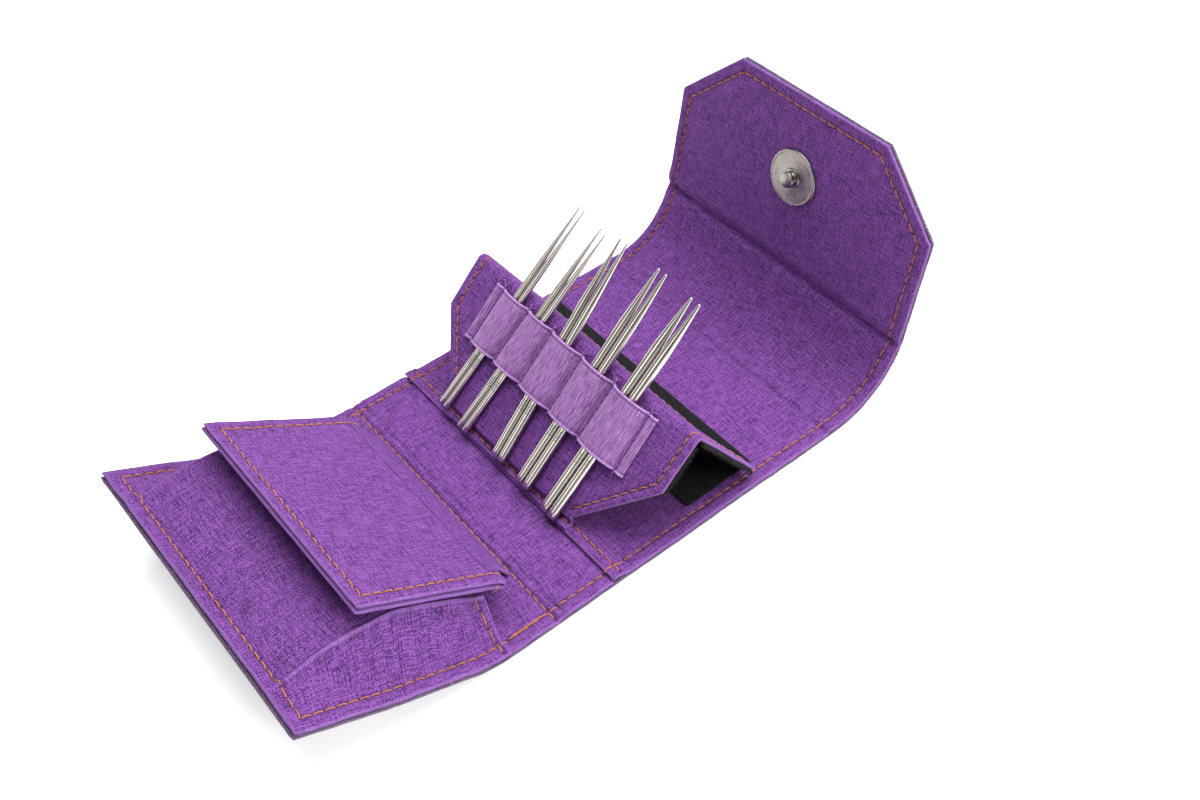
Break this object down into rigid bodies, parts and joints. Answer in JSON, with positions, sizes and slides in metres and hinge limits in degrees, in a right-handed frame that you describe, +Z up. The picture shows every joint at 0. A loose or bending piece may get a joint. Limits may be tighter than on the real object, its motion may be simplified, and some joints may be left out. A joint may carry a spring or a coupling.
{
  "type": "interchangeable needle set",
  "caption": "Interchangeable knitting needle tips held by elastic loops on a prop-up stand inside a folding fabric case with a pocket and a snap flap.",
  "frame": {"origin": "middle of the centre panel's underside, on the surface that the open case lies on", "axes": "+Z up out of the open case; +X from the pocket panel to the closing flap, along the case's length; +Y to the back edge"},
  "size_m": [0.2274, 0.108, 0.0793],
  "materials": {
    "purple_lining": "slubby plain-weave purple cloth, matt",
    "heather_cover": "grey and purple heather cloth, matt",
    "stiff_board": "grey bookbinder's board, matt",
    "black_fleece": "black brushed loop fabric, matt",
    "violet_elastic": "ribbed lilac elastic, soft sheen",
    "satin_steel": "satin stainless steel",
    "nickel_snap": "polished nickel plate"
  },
  "bodies": {
    "center_panel": {"center_cover": "heather_cover", "center_board": "stiff_board", "center_lining": "purple_lining", "hook_patch": "black_fleece", "stand_hinge_strip": "purple_lining"},
    "spine": {"spine_cover": "heather_cover", "spine_board": "stiff_board", "spine_lining": "purple_lining"},
    "pocket_panel": {"pocket_panel_cover": "heather_cover", "pocket_panel_board": "stiff_board", "pocket_panel_lining": "purple_lining", "pocket_sheet": "purple_lining", "snap_socket": "nickel_snap"},
    "pocket_flap": {"pocket_flap_cloth": "purple_lining", "pocket_flap_board": "stiff_board", "pocket_flap_under": "purple_lining"},
    "wrap_panel": {"wrap_cover": "heather_cover", "wrap_board": "stiff_board", "wrap_lining": "purple_lining"},
    "closing_flap": {"closing_flap_cover": "heather_cover", "closing_flap_board": "stiff_board", "closing_flap_lining": "purple_lining", "snap_disc": "nickel_snap", "snap_stud": "nickel_snap", "snap_washer": "nickel_snap"},
    "stand_front": {"stand_front_cloth": "purple_lining", "stand_front_board": "stiff_board", "stand_front_lining": "black_fleece", "elastic_band": "violet_elastic"},
    "stand_back": {"stand_back_cloth": "purple_lining", "stand_back_board": "stiff_board", "stand_back_lining": "black_fleece"},
    "needle_tip_1a": {"needle_tip_1a": "satin_steel"},
    "needle_tip_1b": {"needle_tip_1b": "satin_steel"},
    "needle_tip_2a": {"needle_tip_2a": "satin_steel"},
    "needle_tip_2b": {"needle_tip_2b": "satin_steel"},
    "needle_tip_3a": {"needle_tip_3a": "satin_steel"},
    "needle_tip_3b": {"needle_tip_3b": "satin_steel"},
    "needle_tip_4a": {"needle_tip_4a": "satin_steel"},
    "needle_tip_4b": {"needle_tip_4b": "satin_steel"},
    "needle_tip_5a": {"needle_tip_5a": "satin_steel"},
    "needle_tip_5b": {"needle_tip_5b": "satin_steel"}
  },
  "joints": [
    {"name": "spine_fold", "type": "hinge", "parent": "center_panel", "child": "spine", "pos_m": [-0.0456, 0, 0.0028], "axis": [0, 1, 0], "range_deg": [0, 90]},
    {"name": "pocket_panel_fold", "type": "hinge", "parent": "spine", "child": "pocket_panel", "pos_m": [-0.0646, 0, 0.0028], "axis": [0, 1, 0], "range_deg": [0, 63.3]},
    {"name": "pocket_flap_fold", "type": "hinge", "parent": "pocket_panel", "child": "pocket_flap", "pos_m": [-0.0652, 0, 0.0037], "axis": [0, -1, 0], "range_deg": [-75, 3]},
    {"name": "wrap_fold", "type": "hinge", "parent": "center_panel", "child": "wrap_panel", "pos_m": [0.042, 0, 0.0028], "axis": [0, -1, 0], "range_deg": [0, 56]},
    {"name": "closing_flap_fold", "type": "hinge", "parent": "wrap_panel", "child": "closing_flap", "pos_m": [0.07042, 0, 0.0219], "axis": [0, -1, 0], "range_deg": [-45, 41.5]},
    {"name": "stand_fold", "type": "hinge", "parent": "center_panel", "child": "stand_front", "pos_m": [-0.0428, 0, 0.0058], "axis": [0, 1, 0], "range_deg": [-27, 43]},
    {"name": "stand_ridge_fold", "type": "hinge", "parent": "stand_front", "child": "stand_back", "pos_m": [-0.00973, 0, 0.03461], "axis": [0, 1, 0], "range_deg": [-99.3, 62.4]},
    {"name": "needle_1a_slide", "type": "slide", "parent": "stand_front", "child": "needle_tip_1a", "axis": [-0.7148, 0.0769, -0.6951], "range_m": [-0.042, 0]},
    {"name": "needle_1b_slide", "type": "slide", "parent": "stand_front", "child": "needle_tip_1b", "axis": [-0.7148, 0.0769, -0.6951], "range_m": [-0.042, 0]},
    {"name": "needle_2a_slide", "type": "slide", "parent": "stand_front", "child": "needle_tip_2a", "axis": [-0.7148, 0.0769, -0.6951], "range_m": [-0.042, 0]},
    {"name": "needle_2b_slide", "type": "slide", "parent": "stand_front", "child": "needle_tip_2b", "axis": [-0.7148, 0.0769, -0.6951], "range_m": [-0.042, 0]},
    {"name": "needle_3a_slide", "type": "slide", "parent": "stand_front", "child": "needle_tip_3a", "axis": [-0.7162, -0.0444, -0.6965], "range_m": [-0.042, 0]},
    {"name": "needle_3b_slide", "type": "slide", "parent": "stand_front", "child": "needle_tip_3b", "axis": [-0.7162, -0.0444, -0.6965], "range_m": [-0.042, 0]},
    {"name": "needle_4a_slide", "type": "slide", "parent": "stand_front", "child": "needle_tip_4a", "axis": [-0.7168, 0.0157, -0.6971], "range_m": [-0.042, 0]},
    {"name": "needle_4b_slide", "type": "slide", "parent": "stand_front", "child": "needle_tip_4b", "axis": [-0.7168, 0.0157, -0.6971], "range_m": [-0.042, 0]},
    {"name": "needle_5a_slide", "type": "slide", "parent": "stand_front", "child": "needle_tip_5a", "axis": [-0.7164, 0.0379, -0.6967], "range_m": [-0.042, 0]},
    {"name": "needle_5b_slide", "type": "slide", "parent": "stand_front", "child": "needle_tip_5b", "axis": [-0.7164, 0.0379, -0.6967], "range_m": [-0.042, 0]}
  ],
  "couplings": [
    {"joint": "stand_ridge_fold", "follows": "stand_fold", "ratio": -2.309}
  ]
}
